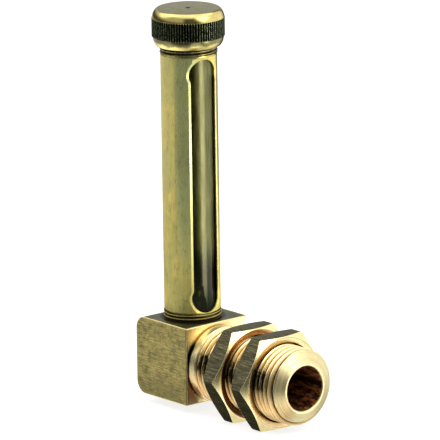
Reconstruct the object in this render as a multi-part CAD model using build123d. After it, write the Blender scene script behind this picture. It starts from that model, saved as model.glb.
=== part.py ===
from build123d import *
from math import cos, hypot, pi, radians, sin, sqrt
import os

os.makedirs("parts", exist_ok=True)

# Tank level gauge: elbow body, guard tube, sight glass, screw cap and two lock nuts.
# Millimetres. +Z is up the gauge tube, +X is out along the spigot.
# The origin is where the spigot axis leaves the block's front face.

# ---- standing clearances -------------------------------------------------
THREAD_GAP = 0.05        # radial gap between the two halves of a screwed joint
GLASS_GAP = 0.25         # radial gap between the sight glass and the guard tube
SEAL_GAP = 0.10          # radial gap round a seal before it is squeezed

# ---- elbow block ---------------------------------------------------------
BLOCK_X = 21.0           # length along the spigot
BLOCK_Y = 21.4           # width
BLOCK_TOP = 11.2         # spigot axis to the block's top face
BLOCK_FOOT = 10.2        # spigot axis to the block's bottom face
BLOCK_HEEL_R = 3.5       # rounding of the two rear edges
BLOCK_EDGE = 0.35        # small bevel on the front face
TUBE_X = -10.0           # gauge tube axis, back from the block's front face

# ---- spigot: parallel pipe thread, 1/2 inch, 14 turns per inch -----------
SPIGOT_OD = 20.955
SPIGOT_PITCH = 1.814
SPIGOT_LEN = 36.2        # front face of the block to the spigot's end
SPIGOT_BORE = 12.1
SPIGOT_LEAD = 1.95       # lead-in cone of the end, along the axis
SPIGOT_LIP = 0.8         # flat ring left between that cone and the bore
SPIGOT_NECK_W = 0.6      # run-out groove against the block
SPIGOT_NECK_D = 0.5      # depth of that groove
BORE_CHAMFER = 0.3
WAY_D = 8.0              # oil way through the block, below the glass
WAY_STEP_X = -0.5        # the spigot bore narrows to the oil way behind here
WAY_STEP = 2.0           # over this length
DRILL_TIP = 2.0          # cone left by the drill behind the gauge axis

# ---- guard tube ----------------------------------------------------------
TUBE_OD = 15.3
TUBE_WALL = 0.9
TUBE_LEN = 70.2              # full-diameter part, shoulder to shoulder
NECK_LOW = 2.5               # screwed neck left showing above the block
NECK_HIGH = 2.35             # and below the cap
SOCKET_DEPTH = 5.8           # threaded socket in the block
THREAD_RISE = 0.15           # the end threads stand this far proud of the tube
RELIEF_W = 0.45              # groove between shoulder and thread
RELIEF_DEPTH = 0.35
CAP_GRIP = 5.15              # length of tube screwed into the cap

TUBE_ID = TUBE_OD - 2 * TUBE_WALL
TUBE_THREAD_D = TUBE_OD + 2 * THREAD_RISE
TUBE_RELIEF_D = TUBE_OD - 2 * RELIEF_DEPTH
SOCKET_FLOOR = BLOCK_TOP - SOCKET_DEPTH
SHOULDER_LOW = BLOCK_TOP + NECK_LOW
SHOULDER_HIGH = SHOULDER_LOW + TUBE_LEN
CAP_FOOT = SHOULDER_HIGH + NECK_HIGH
TUBE_TOP = CAP_FOOT + CAP_GRIP

# ---- sight slot in the guard tube ----------------------------------------
SLOT_W = 7.4                 # milled width between the two end holes
SLOT_END_D = 8.3             # drilled end holes, a little wider than the slot
SLOT_END_LOW = -0.25         # lower end hole starts this far above the shoulder
SLOT_END_HIGH = 0.6          # upper end hole stops this far below the shoulder
SLOT_TURN = -6.0             # degrees the slot faces away from the spigot line
SLOT_BEVEL_W = 0.8           # bevel round the slot: width on the outside
SLOT_BEVEL_D = 0.4           # and depth down the cut
SLOT_THREAD_GAP = 0.3        # plain strip left between that bevel and the end thread

SLOT_LOW = SHOULDER_LOW + SLOT_END_LOW + SLOT_END_D / 2
SLOT_HIGH = SHOULDER_HIGH - SLOT_END_HIGH - SLOT_END_D / 2

# ---- sight glass and its seals -------------------------------------------
GLASS_WALL = 1.2
GLASS_RISE = 0.8             # glass stands this far above the guard tube
SEAL_T = 1.2
SEAL_LIP = 0.7               # seal reaches this far inside the glass bore

GLASS_OD = TUBE_ID - 2 * GLASS_GAP
GLASS_ID = GLASS_OD - 2 * GLASS_WALL
GLASS_TOP = TUBE_TOP + GLASS_RISE
SEAL_BORE = GLASS_ID - 2 * SEAL_LIP
LOW_SEAL_OD = TUBE_ID - 2 * SEAL_GAP
CAP_BORE = TUBE_THREAD_D + 2 * THREAD_GAP
TOP_SEAL_OD = CAP_BORE - 2 * SEAL_GAP

# ---- screw cap -----------------------------------------------------------
CAP_WALL = 2.0               # knurled band to the cap's bore
CAP_FOOT_INSET = 1.2         # skirt chamfer, radially
CAP_FOOT_H = 2.5             # and in height
CAP_BAND_H = 5.15            # knurled band
CAP_CROWN_STEP = 0.08        # knurl stands this far proud of the crown's edge
CAP_CROWN_INSET = 1.6        # rounded crown, radially
CAP_CROWN_H = 2.35           # and in height
CAP_CROWN_BULGE = 0.75       # 0 is a straight chamfer, 1 a full round
KNURL_TEETH = 84
KNURL_DEPTH = 0.32
VENT_D = 1.2

CAP_BAND_R = CAP_BORE / 2 + CAP_WALL
CAP_FOOT_R = CAP_BAND_R - CAP_FOOT_INSET
CAP_TOP_R = CAP_BAND_R - CAP_CROWN_INSET
CAP_BAND_LOW = CAP_FOOT + CAP_FOOT_H
CAP_BAND_HIGH = CAP_BAND_LOW + CAP_BAND_H
CAP_ROOT_R = CAP_BAND_R - KNURL_DEPTH
CAP_EDGE_R = CAP_BAND_R - CAP_CROWN_STEP
CAP_TOP = CAP_BAND_HIGH + CAP_CROWN_H

# ---- lock nuts -----------------------------------------------------------
NUT_WALL = 2.0725            # bore to flats
NUT_T = 6.1
NUT_FACE_INSET = 0.35        # flats to where the 30 degree corner chamfer starts
NUT_MOUTH = 0.45             # countersink of the bore
INNER_NUT_X = 10.15          # back face of the nut nearer the block
STUB_FREE = 8.5              # spigot left free beyond the outer nut

NUT_BORE = SPIGOT_OD + 2 * THREAD_GAP
NUT_AF = NUT_BORE + 2 * NUT_WALL
NUT_FACE_R = NUT_AF / 2 - NUT_FACE_INSET
OUTER_NUT_X = SPIGOT_LEN - STUB_FREE - NUT_T


def disc(r, z0, z1, x=0.0):
    """Upright cylinder of radius r between two heights, on an axis at x."""
    return Pos(x, 0, (z0 + z1) / 2) * Cylinder(r, z1 - z0)


def rod(r, x0, x1):
    """Cylinder along the spigot axis between two x positions."""
    return Pos((x0 + x1) / 2, 0, 0) * Rot(0, 90, 0) * Cylinder(r, x1 - x0)


def lathe(points, x=0.0):
    """Turned body about the gauge axis from (radius, height) points."""
    face = make_face(Polyline([(r, 0, z) for r, z in points], close=True))
    return Pos(x, 0, 0) * revolve(face, axis=Axis.Z)


def lathe_x(points):
    """Turned body about the spigot axis from (x, radius) points."""
    face = make_face(Polyline([(x, 0, r) for x, r in points], close=True))
    return revolve(face, axis=Axis.X)


def block():
    """Square block with rounded heel edges and a finely bevelled front face."""
    height = BLOCK_TOP + BLOCK_FOOT
    mid = (BLOCK_TOP - BLOCK_FOOT) / 2
    body = Pos(-BLOCK_X / 2, 0, mid) * Box(BLOCK_X, BLOCK_Y, height)
    heel = body.edges().filter_by(Axis.Y).group_by(Axis.X)[0]
    body = fillet(heel, BLOCK_HEEL_R)
    front = body.faces().sort_by(Axis.X)[-1]
    return chamfer(front.edges(), BLOCK_EDGE)


def spigot():
    """Threaded stub: run-out groove, plain thread cylinder and end chamfer."""
    r = SPIGOT_OD / 2
    neck = r - SPIGOT_NECK_D
    return lathe_x([
        (-1.0, 0),
        (-1.0, neck),
        (SPIGOT_NECK_W, neck),
        (SPIGOT_NECK_W, r),
        (SPIGOT_LEN - SPIGOT_LEAD, r),
        (SPIGOT_LEN, SPIGOT_BORE / 2 + SPIGOT_LIP),
        (SPIGOT_LEN, 0),
    ])


def oil_way():
    """Everything bored out of the elbow: spigot bore, oil way and tube socket."""
    r = SPIGOT_BORE / 2
    way = WAY_D / 2
    cross = lathe_x([
        (TUBE_X - way - DRILL_TIP, 0),
        (TUBE_X - way, way),
        (WAY_STEP_X - WAY_STEP, way),
        (WAY_STEP_X, r),
        (SPIGOT_LEN - BORE_CHAMFER, r),
        (SPIGOT_LEN + 0.2, r + BORE_CHAMFER + 0.2),
        (SPIGOT_LEN + 0.2, 0),
    ])
    socket_r = TUBE_THREAD_D / 2 + THREAD_GAP
    socket = lathe([
        (0, 0),
        (way, 0),
        (way, SOCKET_FLOOR),
        (socket_r, SOCKET_FLOOR),
        (socket_r, BLOCK_TOP + 0.1),
        (0, BLOCK_TOP + 0.1),
    ], TUBE_X)
    return cross + socket


def elbow_body():
    return block() + spigot() - oil_way()


def slot_cutter(grow):
    """Keyhole-ended slot cutter standing on the gauge axis, pointing +X."""
    depth = TUBE_OD
    bar_h = SLOT_HIGH - SLOT_LOW
    mid = (SLOT_HIGH + SLOT_LOW) / 2
    bar = Pos(depth / 2, 0, mid) * Box(depth, SLOT_W + 2 * grow, bar_h)
    drill = Rot(0, 90, 0) * Cylinder(SLOT_END_D / 2 + grow, depth)
    low = Pos(depth / 2, 0, SLOT_LOW) * drill
    high = Pos(depth / 2, 0, SLOT_HIGH) * drill
    return bar + low + high


def on_slot_rim(edge):
    """True for an edge that lies on the outside of the tube along the slot."""
    points = [edge.position_at(u) for u in (0, 0.5, 1)]
    outside = min(hypot(p.X, p.Y) for p in points) > TUBE_OD / 2 - 0.001
    return outside and min(p.X for p in points) > 0


def slotted_tube():
    """Plain tube with the slot milled through it and its outer edge bevelled."""
    tube = disc(TUBE_OD / 2, SOCKET_FLOOR, TUBE_TOP) - disc(TUBE_ID / 2, 0, TUBE_TOP + 1)
    tube = Rot(0, 0, 180) * tube - slot_cutter(0.0)
    return chamfer(tube.edges().filter_by(on_slot_rim), SLOT_BEVEL_W, SLOT_BEVEL_D)


def end_thread(z0, z1):
    """Thread cylinder of one end, standing a little proud of the tube."""
    return disc(TUBE_THREAD_D / 2, z0, z1) - disc(TUBE_ID / 2, z0 - 1, z1 + 1)


def guard_tube():
    """Brass guard with threaded ends, relief grooves and the sight slot."""
    r_rel = TUBE_RELIEF_D / 2
    low = SHOULDER_LOW - RELIEF_W
    high = SHOULDER_HIGH + RELIEF_W
    threads = end_thread(SOCKET_FLOOR, low) + end_thread(high, TUBE_TOP)
    tube = slotted_tube() + (threads - slot_cutter(SLOT_BEVEL_W + SLOT_THREAD_GAP))
    for z0, z1 in ((low, SHOULDER_LOW), (SHOULDER_HIGH, high)):
        tube -= disc(TUBE_OD, z0, z1) - disc(r_rel, z0 - 1, z1 + 1)
    return Pos(TUBE_X, 0, 0) * Rot(0, 0, SLOT_TURN) * tube


def ring(r_out, r_in, z0, z1):
    """Plain upright ring on the gauge axis."""
    return disc(r_out, z0, z1, TUBE_X) - disc(r_in, z0 - 1, z1 + 1, TUBE_X)


def lower_seal():
    return ring(LOW_SEAL_OD / 2, SEAL_BORE / 2, SOCKET_FLOOR, SOCKET_FLOOR + SEAL_T)


def sight_glass():
    return ring(GLASS_OD / 2, GLASS_ID / 2, SOCKET_FLOOR + SEAL_T, GLASS_TOP)


def upper_seal():
    return ring(TOP_SEAL_OD / 2, SEAL_BORE / 2, GLASS_TOP, GLASS_TOP + SEAL_T)


def knurl_band():
    """Straight knurl: one toothed outline raised through the band."""
    points = []
    for i in range(KNURL_TEETH):
        for part, r in ((0.0, CAP_ROOT_R), (0.34, CAP_BAND_R), (0.66, CAP_BAND_R)):
            a = 2 * pi * (i + part) / KNURL_TEETH
            points.append((r * cos(a), r * sin(a)))
    outline = make_face(Polyline(points, close=True))
    return Pos(TUBE_X, 0, CAP_BAND_LOW) * extrude(outline, CAP_BAND_H)


def crown_curve():
    """Outline of the crown, from the top face down and out to the knurl."""
    points = []
    for t in (0.0, 0.05, 0.2, 0.5, 1.0):
        out = (1 - CAP_CROWN_BULGE) * t + CAP_CROWN_BULGE * sqrt(1 - (1 - t) ** 2)
        r = CAP_TOP_R + (CAP_EDGE_R - CAP_TOP_R) * out
        points.append((r, CAP_TOP - CAP_CROWN_H * t))
    return points


def cap_blank():
    """Turned cap: chamfered skirt, waist that takes the knurl, rounded crown."""
    waist = CAP_ROOT_R - KNURL_DEPTH
    outline = [(0, CAP_FOOT), (CAP_FOOT_R, CAP_FOOT), (CAP_ROOT_R, CAP_BAND_LOW)]
    outline += [(waist, CAP_BAND_LOW), (waist, CAP_BAND_HIGH)]
    outline += reversed(crown_curve())
    outline += [(0, CAP_TOP)]
    return lathe(outline, TUBE_X)


def knurled_cap():
    bore_r = CAP_BORE / 2
    roof = GLASS_TOP + SEAL_T
    cap = cap_blank() + knurl_band()
    cap -= disc(bore_r, CAP_FOOT - 1, roof, TUBE_X)
    return cap - disc(VENT_D / 2, roof - 1, CAP_TOP + 1, TUBE_X)


def lock_nut(x0):
    """Hexagon nut with flats top and bottom, both faces corner-chamfered."""
    corner = NUT_AF / sqrt(3)
    rise = (corner + 1 - NUT_FACE_R) * sin(radians(30)) / cos(radians(30))
    hexagon = RegularPolygon(corner, 6)
    prism = Pos(x0, 0, 0) * Rot(0, 90, 0) * Rot(0, 0, 90) * extrude(hexagon, NUT_T)
    limit = lathe_x([
        (x0, 0),
        (x0, NUT_FACE_R),
        (x0 + rise, corner + 1),
        (x0 + NUT_T - rise, corner + 1),
        (x0 + NUT_T, NUT_FACE_R),
        (x0 + NUT_T, 0),
    ])
    r = NUT_BORE / 2
    bore = lathe_x([
        (x0 - 0.1, 0),
        (x0 - 0.1, r + NUT_MOUTH + 0.1),
        (x0 + NUT_MOUTH, r),
        (x0 + NUT_T - NUT_MOUTH, r),
        (x0 + NUT_T + 0.1, r + NUT_MOUTH + 0.1),
        (x0 + NUT_T + 0.1, 0),
    ])
    return (prism & limit) - bore


def inner_lock_nut():
    return lock_nut(INNER_NUT_X)


def outer_lock_nut():
    return lock_nut(OUTER_NUT_X)


NODES = {
    "elbow_body": elbow_body,
    "guard_tube": guard_tube,
    "lower_seal": lower_seal,
    "sight_glass": sight_glass,
    "upper_seal": upper_seal,
    "knurled_cap": knurled_cap,
    "inner_lock_nut": inner_lock_nut,
    "outer_lock_nut": outer_lock_nut,
}

for name, build in NODES.items():
    solid = build()
    export_step(solid, "parts/" + name + ".step")
    box = solid.bounding_box()
    print(name, round(solid.volume, 1), box.min, box.max, len(solid.solids()))
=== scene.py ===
from math import atan2, cos, hypot, pi, radians, sin, tan

import bmesh
import bpy
from mathutils import Matrix, Vector


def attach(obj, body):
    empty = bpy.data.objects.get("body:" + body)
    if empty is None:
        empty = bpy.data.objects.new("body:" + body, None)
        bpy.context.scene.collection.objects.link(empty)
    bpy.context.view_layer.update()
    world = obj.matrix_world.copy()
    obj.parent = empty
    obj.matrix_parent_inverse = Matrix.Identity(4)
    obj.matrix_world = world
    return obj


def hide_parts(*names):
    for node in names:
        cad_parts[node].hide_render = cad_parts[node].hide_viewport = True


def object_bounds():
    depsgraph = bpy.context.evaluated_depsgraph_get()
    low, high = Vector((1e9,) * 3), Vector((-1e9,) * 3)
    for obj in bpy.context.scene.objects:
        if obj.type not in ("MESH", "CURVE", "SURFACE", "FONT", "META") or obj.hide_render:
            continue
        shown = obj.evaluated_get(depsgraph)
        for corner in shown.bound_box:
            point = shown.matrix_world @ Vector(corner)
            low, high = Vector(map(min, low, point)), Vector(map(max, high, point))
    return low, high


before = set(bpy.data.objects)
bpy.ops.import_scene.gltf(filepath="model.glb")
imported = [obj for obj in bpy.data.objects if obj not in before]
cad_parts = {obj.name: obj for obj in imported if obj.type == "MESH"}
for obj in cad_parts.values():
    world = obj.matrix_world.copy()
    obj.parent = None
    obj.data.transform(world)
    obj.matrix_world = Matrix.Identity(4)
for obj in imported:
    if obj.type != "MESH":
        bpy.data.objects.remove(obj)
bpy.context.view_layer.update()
MM = 0.001
GAUGE_X = -10.0          # gauge axis, mm from the block's front face

# ------------------------------------------------------------------ camera
CAM_AZ = 50.1            # degrees from -Y towards +X
CAM_EL = 14.22
CAM_ROLL = 0.015         # radians
CAM_POS = (1488.43, -1242.80, 530.95)
CAM_LENS = 610.8
SENSOR = 36.0


def add_camera():
    az = radians(CAM_AZ)
    el = radians(CAM_EL)
    right = Vector((cos(az), sin(az), 0.0))
    back = Vector((sin(az) * cos(el), -cos(az) * cos(el), sin(el)))
    up = back.cross(right)
    c, s = cos(CAM_ROLL), sin(CAM_ROLL)
    right, up = c * right - s * up, s * right + c * up
    data = bpy.data.cameras.new("camera")
    data.lens = CAM_LENS
    data.sensor_width = SENSOR
    data.clip_start = 0.05
    data.clip_end = 50.0
    cam = bpy.data.objects.new("camera", data)
    bpy.context.scene.collection.objects.link(cam)
    cam.matrix_world = Matrix((
        (right.x, up.x, back.x, CAM_POS[0] * MM),
        (right.y, up.y, back.y, CAM_POS[1] * MM),
        (right.z, up.z, back.z, CAM_POS[2] * MM),
        (0, 0, 0, 1),
    ))
    bpy.context.scene.camera = cam


# ------------------------------------------------------------- mesh helpers
def new_object(name, mesh, material, body, node):
    obj = bpy.data.objects.new(name, mesh)
    bpy.context.scene.collection.objects.link(obj)
    mesh.materials.clear()
    mesh.materials.append(material)
    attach(obj, body)
    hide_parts(node)
    return obj


def finish_mesh(bm, name, angle=30.0, weld=1e-7):
    bmesh.ops.remove_doubles(bm, verts=bm.verts, dist=weld)
    bmesh.ops.dissolve_degenerate(bm, edges=bm.edges, dist=weld)
    limit = radians(angle)
    for face in bm.faces:
        face.smooth = True
    for edge in bm.edges:
        if len(edge.link_faces) == 2:
            edge.smooth = edge.calc_face_angle(0.0) < limit
        else:
            edge.smooth = False
    mesh = bpy.data.meshes.new(name)
    bm.to_mesh(mesh)
    bm.free()
    return mesh


def place(axis, r, phi, t):
    """Point at radius r, angle phi and distance t along an axis, mm to metres."""
    if axis == "X":
        return Vector((t * MM, r * cos(phi) * MM, r * sin(phi) * MM))
    return Vector(((GAUGE_X + r * cos(phi)) * MM, r * sin(phi) * MM, t * MM))


def polar(bm, axis, rows, n_phi, closed, lead=0):
    """Sweeps rows, each a function of phi giving (r, t), round an axis.

    With a lead, row i runs into row i + lead after one turn, as a thread does.
    """
    rings = []
    for row in rows:
        ring = []
        for k in range(n_phi):
            phi = 2 * pi * k / n_phi
            r, t = row(phi)
            ring.append(bm.verts.new(place(axis, r, phi, t)))
        rings.append(ring)
    count = len(rings)
    last = count if closed else count - 1
    for i in range(last):
        a = rings[i]
        b = rings[(i + 1) % count]
        for k in range(n_phi - 1):
            bm.faces.new((a[k], a[k + 1], b[k + 1], b[k]))
        if lead:
            a_next = rings[min(i + lead, count - 1)]
            b_next = rings[min(i + 1 + lead, count - 1)]
        else:
            a_next, b_next = a, b
        corners = (a[-1], a_next[0], b_next[0], b[-1])
        if len(set(corners)) == 4:
            bm.faces.new(corners)


def thread_shape(u, crest, root):
    """Depth share, 0 at the crest and 1 at the root, at phase u of one pitch."""
    t = abs(2 * (u % 1.0) - 1)
    t = min(max((t - crest) / (1 - crest - root), 0.0), 1.0)
    return 0.6 * t + 0.4 * t * t * (3 - 2 * t)


def helix_rows(r_top, depth, pitch, t0, t1, steps, limit, crest=0.16, root=0.08):
    """Rows that follow a right-hand helix from t0 to t1."""
    rows = []
    turns = (t1 - t0) / pitch
    first = -steps
    last = int(turns * steps) + 2

    def make(i):
        share = thread_shape(i / steps, crest, root)

        def row(phi):
            t = t0 + (i / steps + phi / (2 * pi)) * pitch
            t = min(max(t, t0), t1)
            return limit(r_top - depth * share, t, phi), t
        return row
    for i in range(first, last):
        rows.append(make(i))
    return rows


def cad_copy(node, drop):
    """Mesh of a CAD node without the faces for which drop(points) is true, mm."""
    bm = bmesh.new()
    bm.from_mesh(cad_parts[node].data)
    bmesh.ops.remove_doubles(bm, verts=bm.verts, dist=1e-7)
    gone = [f for f in bm.faces if drop([v.co / MM for v in f.verts])]
    bmesh.ops.delete(bm, geom=gone, context="FACES")
    return bm


# ----------------------- sizes in mm, as in the CAD but for the fine threads
BLOCK_HALF_Y = 10.7
BLOCK_TOP = 11.2
BLOCK_FOOT = 10.2
SPIGOT_R = 20.955 / 2
SPIGOT_BORE_R = 12.1 / 2
SPIGOT_END = 36.2
SPIGOT_LEAD = 1.95
SPIGOT_FACE_R = 6.85
SPIGOT_PITCH = 1.814
THREAD_START = 3.4
NECK_END = 0.6
TUBE_THREAD_R = 7.8
TUBE_PITCH = 0.9         # as the lift of the cap in one turn
TUBE_THREAD_DEPTH = 0.42
TUBE_STEPS = 8           # rows of mesh in one pitch
SPIGOT_STEPS = 12
TUBE_LOW = (5.4, 13.25)
TUBE_HIGH = (84.35, 91.4)
SLOT_TURN = -6.0         # degrees
CAP_FOOT = 86.25
CAP_BAND_LOW = 88.75
CAP_BAND_HIGH = 93.9
CAP_BAND_R = 9.85
CAP_EDGE_R = 9.77
CAP_TOP = 96.25
CAP_TOP_R = 8.25
CAP_BULGE = 0.75
KNURL_TEETH = 84
KNURL_DEPTH = 0.34
NUT_HALF_FLATS = 12.6
NUT_CORNER_TRIM = 0.35 * 0.35   # off each corner of the hexagon
NUT_T = 6.1
NUT_FACE_R = 12.25
NUT_BORE_R = 10.5275
INNER_NUT_X = 10.15
OUTER_NUT_X = 21.6


# --------------------------------------------------------------- materials
class Nodes:
    """Small helper for building a node material."""

    def __init__(self, name):
        self.mat = bpy.data.materials.new(name)
        self.mat.use_nodes = True
        self.tree = self.mat.node_tree
        self.tree.nodes.clear()
        self.out = self.add("ShaderNodeOutputMaterial")
        self.bsdf = self.add("ShaderNodeBsdfPrincipled")
        self.link(self.bsdf.outputs[0], self.out.inputs["Surface"])
        self.coord = self.add("ShaderNodeTexCoord")
        scale = self.add("ShaderNodeVectorMath")
        scale.operation = "SCALE"
        scale.inputs["Scale"].default_value = 1 / MM
        self.link(self.coord.outputs["Object"], scale.inputs[0])
        self.pos = scale.outputs[0]

    def add(self, kind, **settings):
        node = self.tree.nodes.new(kind)
        for key, value in settings.items():
            setattr(node, key, value)
        return node

    def link(self, a, b):
        self.tree.links.new(a, b)

    def put(self, socket, value):
        if isinstance(value, (int, float, tuple, list)):
            socket.default_value = value
        else:
            self.link(value, socket)

    def math(self, op, *values, clamp=False):
        node = self.add("ShaderNodeMath", operation=op, use_clamp=clamp)
        for k, value in enumerate(values):
            self.put(node.inputs[k], value)
        return node.outputs[0]

    def split(self):
        node = self.add("ShaderNodeSeparateXYZ")
        self.link(self.pos, node.inputs[0])
        return node.outputs

    def normal(self):
        """Object-space normal, split into x, y and z."""
        node = self.add("ShaderNodeSeparateXYZ")
        self.link(self.coord.outputs["Normal"], node.inputs[0])
        return node.outputs

    def step(self, value, start, end):
        """0 at start and beyond, 1 at end and beyond, smooth between."""
        node = self.add("ShaderNodeMapRange", interpolation_type="SMOOTHSTEP")
        self.link(value, node.inputs["Value"])
        low, high = (start, end) if start < end else (end, start)
        node.inputs["From Min"].default_value = low
        node.inputs["From Max"].default_value = high
        node.inputs["To Min"].default_value = 0.0 if start < end else 1.0
        node.inputs["To Max"].default_value = 1.0 if start < end else 0.0
        return node.outputs[0]

    def join(self, x, y, z):
        node = self.add("ShaderNodeCombineXYZ")
        for k, value in enumerate((x, y, z)):
            self.put(node.inputs[k], value)
        return node.outputs[0]

    def noise(self, vector, scale, detail=3.0, rough=0.55):
        node = self.add("ShaderNodeTexNoise")
        self.link(vector, node.inputs["Vector"])
        node.inputs["Scale"].default_value = scale
        node.inputs["Detail"].default_value = detail
        node.inputs["Roughness"].default_value = rough
        return node.outputs[0]

    def ramp(self, value, stops):
        node = self.add("ShaderNodeValToRGB")
        self.link(value, node.inputs[0])
        ramp = node.color_ramp
        while len(ramp.elements) < len(stops):
            ramp.elements.new(0.5)
        for element, (at, shade) in zip(ramp.elements, stops):
            element.position = at
            if isinstance(shade, (int, float)):
                shade = (shade, shade, shade)
            element.color = (*shade, 1.0)
        return node.outputs[0]

    def mix(self, share, a, b, blend="MIX"):
        node = self.add("ShaderNodeMix", data_type="RGBA", blend_type=blend)
        self.put(node.inputs[0], share)
        for socket, value in ((node.inputs[6], a), (node.inputs[7], b)):
            if isinstance(value, tuple):
                value = (*value, 1.0)
            self.put(socket, value)
        return node.outputs[2]

    def bump(self, height, strength, distance, normal=None):
        node = self.add("ShaderNodeBump")
        node.inputs["Strength"].default_value = strength
        node.inputs["Distance"].default_value = distance
        self.link(height, node.inputs["Height"])
        if normal is not None:
            self.link(normal, node.inputs["Normal"])
        return node.outputs[0]


def radius_of(n, a, b):
    """Distance from an axis, from the two coordinates across it."""
    square = n.math("ADD", n.math("MULTIPLY", a, a), n.math("MULTIPLY", b, b))
    return n.math("SQRT", square)


def finish_brass(n, colour, rough, height, bump=0.25):
    """Plugs colour, roughness and relief into a metal shader."""
    n.link(colour, n.bsdf.inputs["Base Color"])
    n.bsdf.inputs["Metallic"].default_value = 1.0
    n.link(rough, n.bsdf.inputs["Roughness"])
    n.link(n.bump(height, bump, 0.00004), n.bsdf.inputs["Normal"])
    return n.mat


def drawn_colour(n, lines, light, dark, low=0.38, high=0.62, scored=0.55):
    """Colour of a drawn surface: streaks, cloudy tarnish and gold speckle."""
    streak = n.noise(lines, 6.0, 5.0, 0.75)
    cloud = n.noise(n.pos, 0.30, 5.0, 0.62)
    grit = n.noise(n.pos, 5.5, 3.0, 0.7)
    blend = n.math("ADD", n.math("MULTIPLY", streak, scored),
                   n.math("MULTIPLY", cloud, 0.85 - scored))
    blend = n.math("ADD", blend, n.math("MULTIPLY", grit, 0.15))
    return n.ramp(blend, [(low, dark), (high, light)]), streak, grit


def turned_colour(n, along, light, dark, scale=5.0):
    """Colour of a lathe-turned surface: fine rings where along changes."""
    ring = n.noise(n.join(along, 0.0, 0.0), scale, 4.0, 0.75)
    cloud = n.noise(n.pos, 0.5, 4.0, 0.6)
    blend = n.math("ADD", n.math("MULTIPLY", ring, 0.6), n.math("MULTIPLY", cloud, 0.4))
    return n.ramp(blend, [(0.36, dark), (0.58, light)]), ring


def spread(n, value, low, high):
    """Remaps low..high to 0..1, held at the ends."""
    node = n.add("ShaderNodeMapRange")
    n.link(value, node.inputs["Value"])
    node.inputs["From Min"].default_value = low
    node.inputs["From Max"].default_value = high
    return node.outputs[0]


def shaded_near_side(n, y, z, grit):
    """1 on the near side of the spigot beside the block, where painted shade and a painted dark
    reflection go.
    """
    height = n.math("ADD", z, n.math("MULTIPLY", n.math("SUBTRACT", grit, 0.5), 5.0))
    level = n.math("MULTIPLY", n.step(height, -2.0, -0.5), n.step(height, 7.5, 6.0))
    return n.math("MULTIPLY", level, n.step(y, -5.5, -7.5))


def block_colour(n, x, y, z, r, nx, nz):
    """Drawn block with gold edges as a painted highlight, a dark ring of oil and painted shade
    round the tube, and a turned front face.
    """
    lines = n.join(n.math("MULTIPLY", x, 0.045), y, z)
    block, streak, grit = drawn_colour(
        n, lines, (0.80, 0.65, 0.23), (0.12, 0.125, 0.055), 0.38, 0.61, 0.68)
    # Painted shade: the top face takes this darker, duller colour.
    dull, _, _ = drawn_colour(n, lines, (0.36, 0.37, 0.23), (0.09, 0.10, 0.055), 0.34, 0.66)
    on_top = n.step(nz, 0.6, 0.9)
    block = n.mix(on_top, block, dull)
    blot = n.noise(n.pos, 0.55, 6.0, 0.75)
    block = n.mix(n.math("MULTIPLY", n.step(blot, 0.50, 0.62), 0.6), block, (0.14, 0.15, 0.065))
    scratch = n.noise(n.join(n.math("MULTIPLY", x, 0.12), y, z), 3.2, 5.0, 0.9)
    block = n.mix(n.math("MULTIPLY", n.step(scratch, 0.56, 0.66), 0.7), block, (0.07, 0.075, 0.035))
    block = n.mix(n.math("MULTIPLY", n.step(z, -1.0, -10.0), 0.38), block, (0.13, 0.13, 0.055))
    # Dark ring round the tube's foot on the top face: partly oil, partly painted shade.
    gauge_r = radius_of(n, n.math("SUBTRACT", x, GAUGE_X), y)
    oil_and_shade = n.math("MULTIPLY", on_top, n.step(gauge_r, 9.3, 8.2))
    block = n.mix(oil_and_shade, block, (0.035, 0.03, 0.018))
    reach_y = n.math("SUBTRACT", BLOCK_HALF_Y, n.math("ABSOLUTE", y))
    reach_z = n.math("MINIMUM", n.math("SUBTRACT", BLOCK_TOP, z), n.math("ADD", z, BLOCK_FOOT))
    reach_x = n.math("ABSOLUTE", x)
    near = n.math("MINIMUM", reach_y, reach_z)
    far = n.math("MAXIMUM", reach_y, reach_z)
    edge = n.math("MAXIMUM", near, n.math("MINIMUM", far, reach_x))
    edge = n.math("ADD", edge, n.math("MULTIPLY", n.math("SUBTRACT", grit, 0.5), 0.6))
    face, _ = turned_colour(n, r, (1.0, 0.88, 0.48), (0.86, 0.66, 0.30))
    # Painted shade: the front face goes dark brown toward its near left edge and browner toward its
    # upper left corner.
    shade = n.math("ADD", y, n.math("MULTIPLY", z, 0.35))
    shade = n.math("ADD", shade, n.math("MULTIPLY", n.math("SUBTRACT", blot, 0.5), 9.0))
    face = n.mix(n.step(shade, -7.0, -10.5), face, (0.16, 0.10, 0.045))
    upper = n.math("SUBTRACT", n.math("MULTIPLY", z, 0.6), y)
    upper = n.math("ADD", upper, n.math("MULTIPLY", n.math("SUBTRACT", blot, 0.5), 6.0))
    face = n.mix(n.math("MULTIPLY", n.step(upper, 13.0, 16.5), 0.6), face, (0.30, 0.17, 0.06))
    # Painted shade: a dark crescent on the face where the spigot meets it, on the near side.
    face = n.mix(n.math("MULTIPLY", n.step(r, 11.3, 10.7), shaded_near_side(n, y, z, grit)),
                 face, (0.03, 0.025, 0.014))
    block = n.mix(n.step(nx, 0.5, 0.9), block, face)
    # Painted highlight: a gold band along the block's edges.
    rim = n.step(edge, 0.27, 0.10)
    block = n.mix(rim, block, (0.90, 0.75, 0.34))
    return block, streak, n.math("MULTIPLY", rim, n.step(x, 0.1, 0.0))


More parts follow.
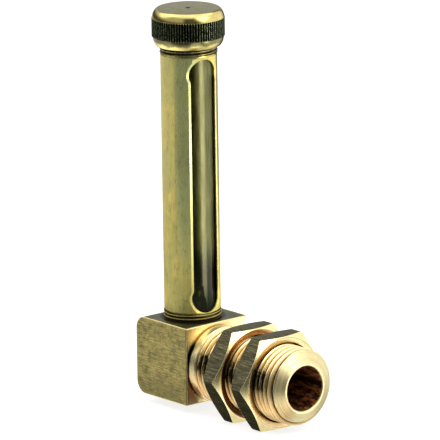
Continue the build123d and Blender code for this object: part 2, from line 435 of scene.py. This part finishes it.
def thread_colour(n, x, y, z, r):
    """Bright crests, orange flanks and dark roots as painted shade, with a painted dark reflection
    as a patch on the near side.
    """
    tip = n.math("SUBTRACT", SPIGOT_END, x)
    tip = n.math("MULTIPLY", tip, (SPIGOT_R - SPIGOT_FACE_R) / SPIGOT_LEAD)
    tip = n.math("ADD", tip, SPIGOT_FACE_R)
    depth = n.math("SUBTRACT", n.math("MINIMUM", tip, SPIGOT_R), r)
    along = n.math("ADD", x, n.math("MULTIPLY", r, 0.35))
    colour, ring = turned_colour(n, along, (1.0, 0.92, 0.56), (0.92, 0.74, 0.36), 7.0)
    grit = n.noise(n.pos, 2.2, 5.0, 0.75)
    # Painted reflection: the thread's lower near side turns orange, with fine dark rings.
    warm = n.math("MULTIPLY", n.step(z, 0.5, -5.0), n.step(y, -2.0, -6.0))
    colour = n.mix(n.math("MULTIPLY", warm, 0.7), colour, (0.88, 0.60, 0.30))
    fine = n.noise(n.join(along, 0.0, 0.0), 15.0, 3.0, 0.8)
    colour = n.mix(n.math("MULTIPLY", warm, n.step(fine, 0.46, 0.58)), colour, (0.42, 0.27, 0.11))
    dots = n.noise(n.pos, 4.5, 3.0, 0.8)
    colour = n.mix(n.math("MULTIPLY", n.step(dots, 0.42, 0.34), 0.7), colour, (0.30, 0.21, 0.09))
    # Painted dark reflection: the thread's neck beside the block goes dark on the near side.
    neck = n.math("MULTIPLY", n.step(x, 1.1, 0.6), shaded_near_side(n, y, z, grit))
    deep = n.math("ADD", depth, n.math("MULTIPLY", n.math("SUBTRACT", grit, 0.5), 0.5))
    inland = n.step(x, SPIGOT_END - 0.06, SPIGOT_END - 0.3)
    # Painted shade: flanks go orange and roots near black, by depth in the thread.
    flank = n.math("MULTIPLY", n.step(deep, 0.18, 0.5), inland)
    root = n.math("MULTIPLY", n.step(deep, 0.5, 0.95), inland)
    colour = n.mix(flank, colour, (0.70, 0.44, 0.17))
    colour = n.mix(root, colour, (0.05, 0.028, 0.014))
    colour = n.mix(neck, colour, (0.03, 0.025, 0.014))
    # Painted dark reflection: a black patch on the near side of the thread.
    streak = n.noise(n.join(n.math("MULTIPLY", x, 3.0), y, n.math("MULTIPLY", z, 0.4)),
                     1.0, 4.0, 0.7)
    height = n.math("ADD", z, n.math("MULTIPLY", n.math("SUBTRACT", streak, 0.5), 7.0))
    patch = n.math("MULTIPLY", n.step(height, -1.2, 0.4), n.step(height, 5.6, 4.2))
    patch = n.math("MULTIPLY", patch, n.step(x, 33.0, 30.5))
    plain = n.math("MULTIPLY", n.step(x, 3.9, 3.4), 0.75)
    patch = n.math("MULTIPLY", patch, n.math("SUBTRACT", 1.0, plain))
    patch = n.math("MULTIPLY", patch, n.step(y, -7.2, -8.6))
    patch = n.math("MULTIPLY", patch, n.math("MAXIMUM", n.step(streak, 0.56, 0.46), flank))
    colour = n.mix(patch, colour, (0.05, 0.045, 0.024))
    cone = n.step(x, SPIGOT_END - SPIGOT_LEAD - 0.1, SPIGOT_END - SPIGOT_LEAD + 0.2)
    turned = n.noise(n.join(r, 0.0, 0.0), 4.5, 4.0, 0.8)
    cut = n.math("MULTIPLY", cone, n.step(turned, 0.48, 0.60))
    colour = n.mix(n.math("MULTIPLY", cut, 0.8), colour, (0.58, 0.46, 0.18))
    return n.mix(n.math("MULTIPLY", cone, 0.20), colour, (0.35, 0.33, 0.15)), ring


def elbow_material():
    """Drawn block, turned front face, and a bright thread with dark roots painted as shade."""
    n = Nodes("elbow_brass")
    x, y, z = n.split()
    nx, _, nz = n.normal()
    r = radius_of(n, y, z)
    block, streak, rim = block_colour(n, x, y, z, r, nx, nz)
    thread, ring = thread_colour(n, x, y, z, r)
    bore, _ = turned_colour(n, x, (0.55, 0.19, 0.06), (0.10, 0.035, 0.014), 3.5)
    long_lines = n.noise(n.join(n.math("MULTIPLY", x, 0.25), n.math("MULTIPLY", y, 0.2), z),
                         1.5, 5.0, 0.8)
    bore = n.mix(n.step(long_lines, 0.42, 0.54), bore, (0.02, 0.009, 0.005))
    # Painted shade: a ragged dark band across the middle of the bore.
    ragged = n.math("MULTIPLY", n.math("SUBTRACT", long_lines, 0.5), 3.0)
    middle = n.math("ABSOLUTE", n.math("ADD", z, ragged))
    bore = n.mix(n.step(middle, 1.1, 0.5), bore, (0.012, 0.006, 0.004))
    inside = n.math("MULTIPLY", n.step(r, SPIGOT_BORE_R + 0.12, SPIGOT_BORE_R + 0.04),
                    n.step(x, SPIGOT_END - 0.02, SPIGOT_END - 0.1))
    inside = n.math("MULTIPLY", inside, n.step(x, -19.5, -19.0))
    thread = n.mix(inside, thread, bore)
    outer = n.step(x, 0.02, 0.06)
    colour = n.mix(outer, block, thread)
    fine = n.mix(outer, streak, ring)
    rough = n.ramp(fine, [(0.3, 0.46), (0.7, 0.24)])
    rough = n.math("ADD", rough, n.math("MULTIPLY", rim, 0.35))
    finish_brass(n, colour, rough, fine, 0.45)
    dull = n.math("MULTIPLY", n.math("MAXIMUM", inside, rim), 0.7)
    n.link(n.math("SUBTRACT", 1.0, dull), n.bsdf.inputs["Metallic"])
    return n.mat


def tube_material():
    """Drawn tube: gold at one side, greener toward the slot, dark thread roots and slot edges as
    painted shade.
    """
    n = Nodes("tube_brass")
    x, y, z = n.split()
    across = n.math("SUBTRACT", x, GAUGE_X)
    r = radius_of(n, across, y)
    turn = n.math("MULTIPLY", n.math("ARCTAN2", y, across), 180 / pi)
    lines = n.join(x, y, n.math("MULTIPLY", z, 0.035))
    tube, streak, grit = drawn_colour(n, lines, (1.0, 0.84, 0.25), (0.58, 0.52, 0.17), 0.36, 0.60)
    slow = n.noise(n.join(x, y, n.math("MULTIPLY", z, 0.25)), 0.28, 4.0, 0.6)
    # Greener and less metallic from about -69 to -26 degrees round the tube, fading out toward the
    # foot.
    edge = n.math("ADD", turn, n.math("MULTIPLY", n.math("SUBTRACT", slow, 0.5), 9.0))
    green = n.math("MULTIPLY", n.step(edge, -71.0, -67.0), n.step(z, 10.0, 48.0))
    green = n.math("MULTIPLY", green, n.step(turn, -22.0, -30.0))
    tube = n.mix(n.math("MULTIPLY", green, 0.7), tube, (0.56, 0.68, 0.31))
    drift = n.noise(n.join(x, y, n.math("MULTIPLY", z, 0.3)), 0.16, 4.0, 0.65)
    tube = n.mix(n.math("MULTIPLY", n.step(drift, 0.44, 0.60), 0.55), tube, (0.58, 0.58, 0.24))
    blot = n.noise(n.join(x, y, n.math("MULTIPLY", z, 0.4)), 0.75, 6.0, 0.75)
    tube = n.mix(n.math("MULTIPLY", n.step(blot, 0.52, 0.66), 0.6), tube, (0.36, 0.38, 0.16))
    speck = n.noise(n.pos, 4.0, 3.0, 0.8)
    tube = n.mix(n.step(speck, 0.36, 0.30), tube, (0.16, 0.13, 0.05))
    # Painted shade: the threaded ends go darker, and the thread roots and the tube's foot go near
    # black.
    ends = n.math("MAXIMUM", n.step(z, 13.40, 13.30), n.step(z, 84.2, 84.3))
    root = n.math("MULTIPLY", n.step(r, TUBE_THREAD_R - 0.04, TUBE_THREAD_R - 0.18), ends)
    root = n.math("MAXIMUM", root, n.step(z, 11.65, 11.4))
    tube = n.mix(n.math("MULTIPLY", ends, 0.30), tube, (0.34, 0.24, 0.10))
    # Painted shadow: a speckled dark band on the thread just under the cap.
    upper = n.math("MULTIPLY", n.step(z, 84.2, 84.4), n.step(speck, 0.60, 0.44))
    tube = n.mix(n.math("MULTIPLY", upper, 0.8), tube, (0.06, 0.045, 0.02))
    tube = n.mix(root, tube, (0.035, 0.025, 0.012))
    tube = n.mix(n.step(r, 6.9, 6.8), tube, (0.70, 0.62, 0.32))
    tilt = radians(SLOT_TURN)
    beside = n.math("SUBTRACT", n.math("MULTIPLY", y, cos(tilt)),
                    n.math("MULTIPLY", across, sin(tilt)))
    ahead = n.math("ADD", n.math("MULTIPLY", across, cos(tilt)), n.math("MULTIPLY", y, sin(tilt)))
    # Painted shade: a dark band along the slot's cut faces and edges on the front side.
    jag = n.math("ADD", beside, n.math("MULTIPLY", n.math("SUBTRACT", speck, 0.5), 0.5))
    slot_edge_shade = n.math("MULTIPLY", n.step(beside, 3.4, 3.5), n.step(jag, 4.12, 3.98))
    slot_edge_shade = n.math("MULTIPLY", slot_edge_shade, n.step(ahead, 2.0, 3.0))
    slot_edge_shade = n.math("MULTIPLY", slot_edge_shade,
                   n.math("MULTIPLY", n.step(z, 16.0, 17.0), n.step(z, 81.0, 80.0)))
    tube = n.mix(slot_edge_shade, tube, (0.03, 0.022, 0.012))
    rough = n.ramp(streak, [(0.3, 0.34), (0.7, 0.20)])
    rough = n.math("ADD", rough, n.math("MULTIPLY", n.step(z, 58.0, 20.0), 0.30))
    finish_brass(n, tube, rough, streak, 0.30)
    n.link(n.math("SUBTRACT", 1.0, n.math("MULTIPLY", green, 0.19)), n.bsdf.inputs["Metallic"])
    return n.mat


def cap_material():
    """Turned cap: bright crown and skirt, a top darkened as painted shade, knurl black with oxide.
    """
    n = Nodes("cap_brass")
    x, y, z = n.split()
    _, _, nz = n.normal()
    r = radius_of(n, n.math("SUBTRACT", x, GAUGE_X), y)
    along = n.math("ADD", r, z)
    colour, ring = turned_colour(n, along, (0.78, 0.67, 0.25), (0.55, 0.43, 0.15), 3.0)
    # Painted shade: the top face takes this darker, duller colour.
    top, _ = turned_colour(n, r, (0.62, 0.60, 0.33), (0.40, 0.38, 0.19), 2.5)
    colour = n.mix(n.step(nz, 0.90, 0.97), colour, top)
    # Painted shade: a cloudy dark band on the skirt just below the knurl.
    cloud = n.noise(n.join(x, y, 0.0), 0.35, 3.0, 0.6)
    under = n.math("ADD", z, n.math("MULTIPLY", n.math("SUBTRACT", cloud, 0.5), 2.5))
    under = n.math("MULTIPLY", n.step(under, CAP_FOOT + 0.9, CAP_FOOT + 1.5),
                   n.step(z, CAP_BAND_LOW + 0.2, CAP_BAND_LOW))
    colour = n.mix(n.math("MULTIPLY", under, 0.8), colour, (0.13, 0.13, 0.065))
    # Painted shade: the cap's underside and lowest lip go dark.
    foot = n.step(z, CAP_FOOT + 0.22, CAP_FOOT + 0.05)
    colour = n.mix(foot, colour, (0.12, 0.08, 0.03))
    band = n.math("MULTIPLY", n.step(z, CAP_BAND_LOW, CAP_BAND_LOW + 0.1),
                  n.step(z, CAP_BAND_HIGH, CAP_BAND_HIGH - 0.1))
    band = n.math("MULTIPLY", band, n.step(r, 9.3, 9.4))
    grit = n.noise(n.pos, 3.0, 4.0, 0.7)
    worn = n.math("MULTIPLY", n.step(r, CAP_BAND_R - 0.07, CAP_BAND_R - 0.01),
                  n.step(grit, 0.42, 0.62))
    knurl = n.mix(worn, (0.006, 0.010, 0.005), (0.24, 0.28, 0.15))
    colour = n.mix(band, colour, knurl)
    # Painted shade: the small centre hole is near black.
    colour = n.mix(n.step(r, 0.75, 0.62), colour, (0.02, 0.018, 0.01))
    rough = n.ramp(ring, [(0.3, 0.26), (0.7, 0.12)])
    rough = n.mix(band, rough, (0.40, 0.40, 0.40))
    return finish_brass(n, colour, rough, ring, 0.25)


def nut_material(name, ring_light, ring_dark, shaded):
    """Hexagon bar: oxide-dark flats with cross streaks, turned bright faces."""
    n = Nodes(name)
    x, y, z = n.split()
    nx, _, nz = n.normal()
    r = radius_of(n, y, z)
    flats = n.step(n.math("ABSOLUTE", nx), 0.30, 0.15)
    lines = n.join(n.math("MULTIPLY", x, 0.05), y, z)
    streak = n.noise(lines, 3.5, 4.0, 0.85)
    grit = n.noise(n.pos, 4.0, 4.0, 0.7)
    blend = n.math("ADD", n.math("MULTIPLY", streak, 0.8), n.math("MULTIPLY", grit, 0.2))
    patina = n.ramp(blend, [
        (0.42, (0.028, 0.026, 0.013)),
        (0.54, (0.085, 0.076, 0.036)),
        (0.66, (0.34, 0.30, 0.15)),
    ])
    # Painted shade: the downward flats go near black and the top flat darker.
    lower = n.step(nz, -0.15, -0.4)
    patina = n.mix(n.math("MULTIPLY", lower, 0.75), patina, (0.012, 0.012, 0.006))
    patina = n.mix(n.math("MULTIPLY", n.step(nz, 0.7, 0.95), 0.4), patina, (0.03, 0.028, 0.014))
    turned, ring = turned_colour(n, n.math("ADD", r, n.math("MULTIPLY", x, 0.3)),
                                 (1.0, 0.90, 0.50), (0.84, 0.68, 0.32))
    ring_face, _ = turned_colour(n, r, ring_light, ring_dark)
    # Painted shade: the face ring darkens toward its lower near side, by the shaded share.
    side = n.math("ADD", n.math("MULTIPLY", y, -1.0), n.math("MULTIPLY", z, -0.45))
    side = n.math("ADD", side, n.math("MULTIPLY", n.math("SUBTRACT", grit, 0.5), 4.0))
    dim = n.math("MULTIPLY", n.step(side, 1.0, 6.5), shaded)
    ring_face = n.mix(dim, ring_face, (0.07, 0.030, 0.014))
    colour = n.mix(n.step(r, 12.32, 12.2), turned, ring_face)
    line = n.math("MULTIPLY", n.step(r, 12.10, 12.22), n.step(r, 12.40, 12.28))
    colour = n.mix(n.math("MULTIPLY", line, 0.6), colour, (0.42, 0.20, 0.08))
    # Painted shade: the countersink at the bore goes near black.
    colour = n.mix(n.step(r, 10.95, 10.8), colour, (0.03, 0.02, 0.01))
    colour = n.mix(flats, colour, patina)
    rough = n.mix(flats, n.ramp(ring, [(0.3, 0.32), (0.7, 0.18)]), (0.36, 0.36, 0.36))
    finish_brass(n, colour, rough, n.mix(flats, ring, streak), 0.35)
    matt = n.math("MULTIPLY", flats, n.math("ADD", 0.75, n.math("MULTIPLY", lower, 0.23)))
    n.link(n.math("SUBTRACT", 1.0, matt), n.bsdf.inputs["Metallic"])
    n.link(n.math("MULTIPLY", n.math("SUBTRACT", 1.0, lower), 0.15),
           n.bsdf.inputs["Specular IOR Level"])
    return n.mat


def glass_material():
    """Gauge glass, yellowed and smeared, with a darker foot."""
    n = Nodes("gauge_glass")
    x, y, z = n.split()
    smear = n.noise(n.join(x, y, n.math("MULTIPLY", z, 0.12)), 0.9, 4.0, 0.6)
    n.link(n.ramp(smear, [(0.4, 0.01), (0.7, 0.04)]), n.bsdf.inputs["Roughness"])
    foot = n.step(z, 28.0, 15.0)
    film = n.ramp(smear, [(0.35, (0.50, 0.54, 0.20)), (0.65, (0.84, 0.80, 0.35))])
    n.link(n.mix(n.step(z, 35.0, 24.0), film, (0.012, 0.016, 0.009)), n.bsdf.inputs["Base Color"])
    clear = spread(n, smear, 0.30, 0.70)
    turn = n.math("ARCTAN2", y, n.math("SUBTRACT", x, GAUGE_X))
    lit = n.math("ADD", n.step(turn, radians(-34.0), radians(-8.0)),
                 n.step(turn, radians(12.0), radians(34.0)))
    clear = n.math("ADD", n.math("MULTIPLY", clear, -0.12), 0.91)
    clear = n.math("SUBTRACT", 1.0, n.math("MULTIPLY", n.math("SUBTRACT", 1.0, clear), lit))
    n.link(n.math("MULTIPLY", clear, n.math("SUBTRACT", 1.0, foot)),
           n.bsdf.inputs["Transmission Weight"])
    n.link(n.math("SUBTRACT", 0.5, n.math("MULTIPLY", n.step(z, 24.0, 14.0), 0.46)),
           n.bsdf.inputs["Specular IOR Level"])
    n.bsdf.inputs["Specular Tint"].default_value = (1.0, 0.95, 0.55, 1)
    n.bsdf.inputs["IOR"].default_value = 1.47
    return n.mat


def rubber_material():
    """Dull black rubber."""
    n = Nodes("seal_rubber")
    grain = n.noise(n.pos, 6.0, 4.0)
    n.link(n.ramp(grain, [(0.3, 0.012), (0.7, 0.03)]), n.bsdf.inputs["Base Color"])
    n.bsdf.inputs["Roughness"].default_value = 0.65
    n.link(n.bump(grain, 0.2, 0.00005), n.bsdf.inputs["Normal"])
    return n.mat


# ------------------------------------------------------------------ pieces
def make_elbow():
    """Elbow from the CAD, with a real helix in place of its plain thread cylinder."""
    def outside(points):
        far = all(hypot(p.y, p.z) > SPIGOT_FACE_R - 0.02 for p in points)
        return far and min(p.x for p in points) > NECK_END - 0.01 and (
            NECK_END + 0.01 < max(p.x for p in points)) and (
            min(p.x for p in points) < SPIGOT_END - 0.01)
    bm = cad_copy("elbow_body", outside)

    def limit(r, t, phi):
        if t < THREAD_START:
            share = max(0.0, (t - THREAD_START + 0.5) / 0.5)
            r = SPIGOT_R + (r - SPIGOT_R) * share
        share = max(0.0, t - (SPIGOT_END - SPIGOT_LEAD)) / SPIGOT_LEAD
        tip = SPIGOT_R + (SPIGOT_FACE_R - SPIGOT_R) * share
        return min(r, tip)
    depth = 0.64 * SPIGOT_PITCH
    rows = helix_rows(SPIGOT_R, depth, SPIGOT_PITCH,
                      NECK_END, SPIGOT_END, SPIGOT_STEPS, limit)
    polar(bm, "X", rows, 168, False, SPIGOT_STEPS)
    mesh = finish_mesh(bm, "elbow_detail")
    return new_object("elbow_detail", mesh, elbow_material(), "gauge", "elbow_body")


def make_tube():
    """Guard tube from the CAD, with a fine helix on both of its ends."""
    def outside(points):
        for low, high in (TUBE_LOW, TUBE_HIGH):
            inside = all(low - 0.01 < p.z < high + 0.01 for p in points)
            far = all(hypot(p.x - GAUGE_X, p.y) > TUBE_THREAD_R - 0.012 for p in points)
            if inside and far:
                return True
        return False
    bm = cad_copy("guard_tube", outside)
    for low, high in (TUBE_LOW, TUBE_HIGH):
        def limit(r, t, phi, low=low, high=high):
            edge = min(1.0, min(t - low, high - t) / 0.10)
            return TUBE_THREAD_R + (r - TUBE_THREAD_R) * edge
        rows = helix_rows(TUBE_THREAD_R, TUBE_THREAD_DEPTH, TUBE_PITCH,
                          low, high, TUBE_STEPS, limit, 0.2, 0.25)
        polar(bm, "Z", rows, 120, False, TUBE_STEPS)
    mesh = finish_mesh(bm, "guard_detail")
    return new_object("guard_detail", mesh, tube_material(), "gauge", "guard_tube")


def crown_curve():
    """Crown outline, from the top face's edge down and out to the knurl."""
    points = []
    for k in range(13):
        t = (k / 12) ** 2
        out = (1 - CAP_BULGE) * t + CAP_BULGE * (1 - (1 - t) ** 2) ** 0.5
        r = CAP_TOP_R + (CAP_EDGE_R - CAP_TOP_R) * out
        points.append((r, CAP_TOP - (CAP_TOP - CAP_BAND_HIGH) * t))
    return points


def make_cap():
    """Cap with real knurl grooves and a skirt a little fuller than the CAD's cone."""
    root_r = CAP_BAND_R - 0.36
    inner = [(0.6, 93.4), (0.6, CAP_TOP - 0.05), (0.65, CAP_TOP)]
    skirt = [
        (root_r + 0.1, CAP_BAND_LOW), (root_r + 0.06, CAP_BAND_LOW - 0.5),
        (9.38, CAP_FOOT + 1.25), (9.12, CAP_FOOT + 0.65), (8.86, CAP_FOOT + 0.25),
        (8.72, CAP_FOOT + 0.08), (8.6, CAP_FOOT),
        (8.0, CAP_FOOT), (7.85, CAP_FOOT + 0.2), (7.85, 93.4),
    ]
    rows = [lambda phi, p=p: p for p in inner + crown_curve()]

    def groove(height, share):
        def row(phi):
            u = (phi * KNURL_TEETH / (2 * pi)) % 1.0
            depth = max(0.0, 1 - abs(2 * u - 1) * 1.35)
            return CAP_BAND_R - 0.03 * (1 - share) - KNURL_DEPTH * depth, height
        return row
    rows += [groove(CAP_BAND_HIGH - 0.02, 0.0), groove(CAP_BAND_HIGH - 0.06, 1.0)]
    for k in range(1, 8):
        rows.append(groove(CAP_BAND_HIGH - (CAP_BAND_HIGH - CAP_BAND_LOW) * k / 8, 1.0))
    rows += [groove(CAP_BAND_LOW + 0.06, 1.0), groove(CAP_BAND_LOW + 0.01, 0.0)]
    rows += [lambda phi, p=p: p for p in skirt]
    bm = bmesh.new()
    polar(bm, "Z", rows, KNURL_TEETH * 6, True)
    mesh = finish_mesh(bm, "cap_detail", 35.0)
    return new_object("cap_detail", mesh, cap_material(), "cap", "knurled_cap")


def make_nut(name, node, body, x0, material):
    """Hexagon nut: countersunk bore, corners cut back at 30 degrees, fine edges."""
    half = NUT_HALF_FLATS
    thick = NUT_T
    face_r = NUT_FACE_R
    bore = NUT_BORE_R
    slope = tan(radians(30))

    def hexagon(phi):
        local = phi % radians(60) - radians(30)
        r = half / cos(local)
        top = half / cos(radians(30))
        return min(r, top - NUT_CORNER_TRIM)

    def outer(side, lift):
        def row(phi):
            r = hexagon(phi)
            drop = (r - face_r) * slope
            t = drop + lift
            x = x0 + t if side == 0 else x0 + thick - t
            return r - max(0.0, 0.06 - lift) * 0.5, x
        return row

    def at(r, t, side):
        x = x0 + t if side == 0 else x0 + thick - t
        return lambda phi: (r, x)

    def chamfer(side, share):
        def row(phi):
            r = face_r + (hexagon(phi) - 0.03 - face_r) * share
            t = (r - face_r) * slope
            x = x0 + t if side == 0 else x0 + thick - t
            return r, x
        return row
    back = [
        at(bore, 0.5, 0), at(bore + 0.03, 0.42, 0),
        at(bore + 0.42, 0.03, 0), at(bore + 0.5, 0.0, 0),
        at(face_r - 0.06, 0.0, 0), at(face_r + 0.05, 0.015, 0),
        chamfer(0, 0.35), chamfer(0, 0.7), chamfer(0, 1.0), outer(0, 0.03), outer(0, 0.09),
    ]
    front = [
        outer(1, 0.09), outer(1, 0.03), chamfer(1, 1.0), chamfer(1, 0.7), chamfer(1, 0.35),
        at(face_r + 0.05, 0.015, 1), at(face_r - 0.06, 0.0, 1),
        at(bore + 0.5, 0.0, 1), at(bore + 0.42, 0.03, 1),
        at(bore + 0.03, 0.42, 1), at(bore, 0.5, 1),
    ]
    bm = bmesh.new()
    polar(bm, "X", back + front, 360, True)
    mesh = finish_mesh(bm, name, 28.0)
    return new_object(name, mesh, material, body, node)


def add_floor():
    """Plain pale floor under the gauge, left out of mirror and glass rays."""
    low = min(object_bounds()[0].z, -12.6 * MM)
    bm = bmesh.new()
    reach = 6.0              # metres
    corners = [(-reach, -reach), (reach, -reach), (reach, reach), (-reach, reach)]
    bm.faces.new([bm.verts.new((a, b, low)) for a, b in corners])
    mesh = bpy.data.meshes.new("floor")
    bm.to_mesh(mesh)
    bm.free()
    floor = bpy.data.objects.new("floor", mesh)
    bpy.context.scene.collection.objects.link(floor)
    mat = bpy.data.materials.new("floor")
    mat.use_nodes = True
    bsdf = mat.node_tree.nodes["Principled BSDF"]
    bsdf.inputs["Base Color"].default_value = (0.30, 0.30, 0.30, 1)
    bsdf.inputs["Roughness"].default_value = 0.9
    bsdf.inputs["Specular IOR Level"].default_value = 0.0
    bsdf.inputs["Emission Color"].default_value = (1.0, 1.0, 1.0, 1)
    bsdf.inputs["Emission Strength"].default_value = 0.80
    mesh.materials.append(mat)
    floor.visible_glossy = False
    floor.visible_transmission = False


def add_area(name, centre, target, size, power, glossy=True, colour=(1, 1, 1)):
    data = bpy.data.lights.new(name, "AREA")
    data.shape = "RECTANGLE"
    data.size, data.size_y = size
    data.energy = power
    data.color = colour
    lamp = bpy.data.objects.new(name, data)
    bpy.context.scene.collection.objects.link(lamp)
    lamp.location = centre
    lamp.rotation_euler = (Vector(target) - Vector(centre)).to_track_quat("-Z", "Y").to_euler()
    lamp.visible_glossy = glossy
    lamp.visible_transmission = glossy
    return lamp


def add_world():
    """Studio surroundings: dim room with bright soft panels to the right and left."""
    world = bpy.data.worlds.new("studio")
    bpy.context.scene.world = world
    world.use_nodes = True
    tree = world.node_tree
    tree.nodes.clear()
    out = tree.nodes.new("ShaderNodeOutputWorld")
    shade = tree.nodes.new("ShaderNodeBackground")
    tree.links.new(shade.outputs[0], out.inputs[0])
    coord = tree.nodes.new("ShaderNodeTexCoord")
    total = None

    def math(op, a, b):
        node = tree.nodes.new("ShaderNodeMath")
        node.operation = op
        for socket, value in zip(node.inputs, (a, b)):
            if isinstance(value, (int, float)):
                socket.default_value = value
            else:
                tree.links.new(value, socket)
        return node.outputs[0]
    for azimuth, elevation, inner, outer, power in WORLD_PANELS:
        a, e = radians(azimuth), radians(elevation)
        dot = tree.nodes.new("ShaderNodeVectorMath")
        dot.operation = "DOT_PRODUCT"
        dot.inputs[1].default_value = (cos(a) * cos(e), sin(a) * cos(e), sin(e))
        tree.links.new(coord.outputs["Generated"], dot.inputs[0])
        edge = tree.nodes.new("ShaderNodeMapRange")
        edge.interpolation_type = "SMOOTHSTEP"
        edge.inputs["From Min"].default_value = cos(radians(outer))
        edge.inputs["From Max"].default_value = cos(radians(inner))
        edge.inputs["To Max"].default_value = power
        tree.links.new(dot.outputs["Value"], edge.inputs["Value"])
        total = edge.outputs[0] if total is None else math("ADD", total, edge.outputs[0])
    split = tree.nodes.new("ShaderNodeSeparateXYZ")
    tree.links.new(coord.outputs["Generated"], split.inputs[0])

    def ramp(value, start, end):
        node = tree.nodes.new("ShaderNodeMapRange")
        node.interpolation_type = "SMOOTHSTEP"
        node.inputs["From Min"].default_value = min(start, end)
        node.inputs["From Max"].default_value = max(start, end)
        node.inputs["To Min"].default_value = 0.0 if start < end else 1.0
        node.inputs["To Max"].default_value = 1.0 if start < end else 0.0
        tree.links.new(value, node.inputs["Value"])
        return node.outputs[0]
    for azimuth, half, low, high, soft, power in WORLD_STRIPS:
        a = radians(azimuth)
        ahead = math("ADD", math("MULTIPLY", split.outputs[0], cos(a)),
                     math("MULTIPLY", split.outputs[1], sin(a)))
        aside = math("SUBTRACT", math("MULTIPLY", split.outputs[1], cos(a)),
                     math("MULTIPLY", split.outputs[0], sin(a)))
        turn = math("ABSOLUTE", math("ARCTAN2", aside, ahead), 0.0)
        rise = math("ARCSINE", split.outputs[2], 0.0)
        share = ramp(turn, radians(half + soft), radians(half - soft))
        share = math("MULTIPLY", share, ramp(rise, radians(low - soft), radians(low + soft)))
        share = math("MULTIPLY", share, ramp(rise, radians(high + soft), radians(high - soft)))
        total = math("ADD", total, math("MULTIPLY", share, power))
    tree.links.new(math("ADD", total, WORLD_BASE), shade.inputs["Strength"])
    shade.inputs["Color"].default_value = (1.0, 0.98, 0.94, 1)


# azimuth from +X towards +Y, elevation, inner and outer half-angle, strength
WORLD_BASE = 0.07
WORLD_PANELS = [
    (55.0, 5.0, 38.0, 62.0, 1.15),
    (22.0, -14.0, 5.0, 13.0, 5.0),
    (12.0, 34.0, 10.0, 24.0, 2.2),
    (-12.0, -36.0, 12.0, 20.0, 1.3),
    (0.0, 90.0, 30.0, 55.0, 1.55),
    (0.0, -90.0, 38.0, 66.0, 0.75),
    (215.0, 46.0, 16.0, 30.0, 1.3),
    (140.0, 14.0, 12.0, 26.0, 0.35),
]
# azimuth, its half-width, elevations from and to, soft edge, strength
WORLD_STRIPS = [
    (198.0, 62.0, -70.0, -5.0, 6.0, 0.64),
    (220.0, 60.0, -80.0, -28.0, 8.0, 0.45),
    (232.0, 72.0, 14.0, 40.0, 6.0, 0.50),
]

bpy.context.scene.view_settings.view_transform = "Standard"
add_camera()
add_world()
add_floor()
add_area("ceiling", (0.0, 0.0, 1.6), (0.0, 0.0, 0.0), (3.0, 3.0), 22.0, glossy=False)

make_elbow()
make_tube()
make_cap()
# Painted shade and warm reflection: the inner nut's face ring gets darker, more orange colours and
# more shade than the outer nut's.
INNER_BRASS = nut_material("inner_nut_brass", (0.80, 0.46, 0.20), (0.50, 0.24, 0.10), 0.9)
OUTER_BRASS = nut_material("outer_nut_brass", (0.90, 0.72, 0.38), (0.72, 0.50, 0.24), 0.35)
make_nut("inner_nut_detail", "inner_lock_nut", "inner_nut", INNER_NUT_X, INNER_BRASS)
make_nut("outer_nut_detail", "outer_lock_nut", "outer_nut", OUTER_NUT_X, OUTER_BRASS)
GLASS = glass_material()
RUBBER = rubber_material()
for node, material in (("sight_glass", GLASS), ("lower_seal", RUBBER), ("upper_seal", RUBBER)):
    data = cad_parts[node].data
    data.materials.clear()
    data.materials.append(material)
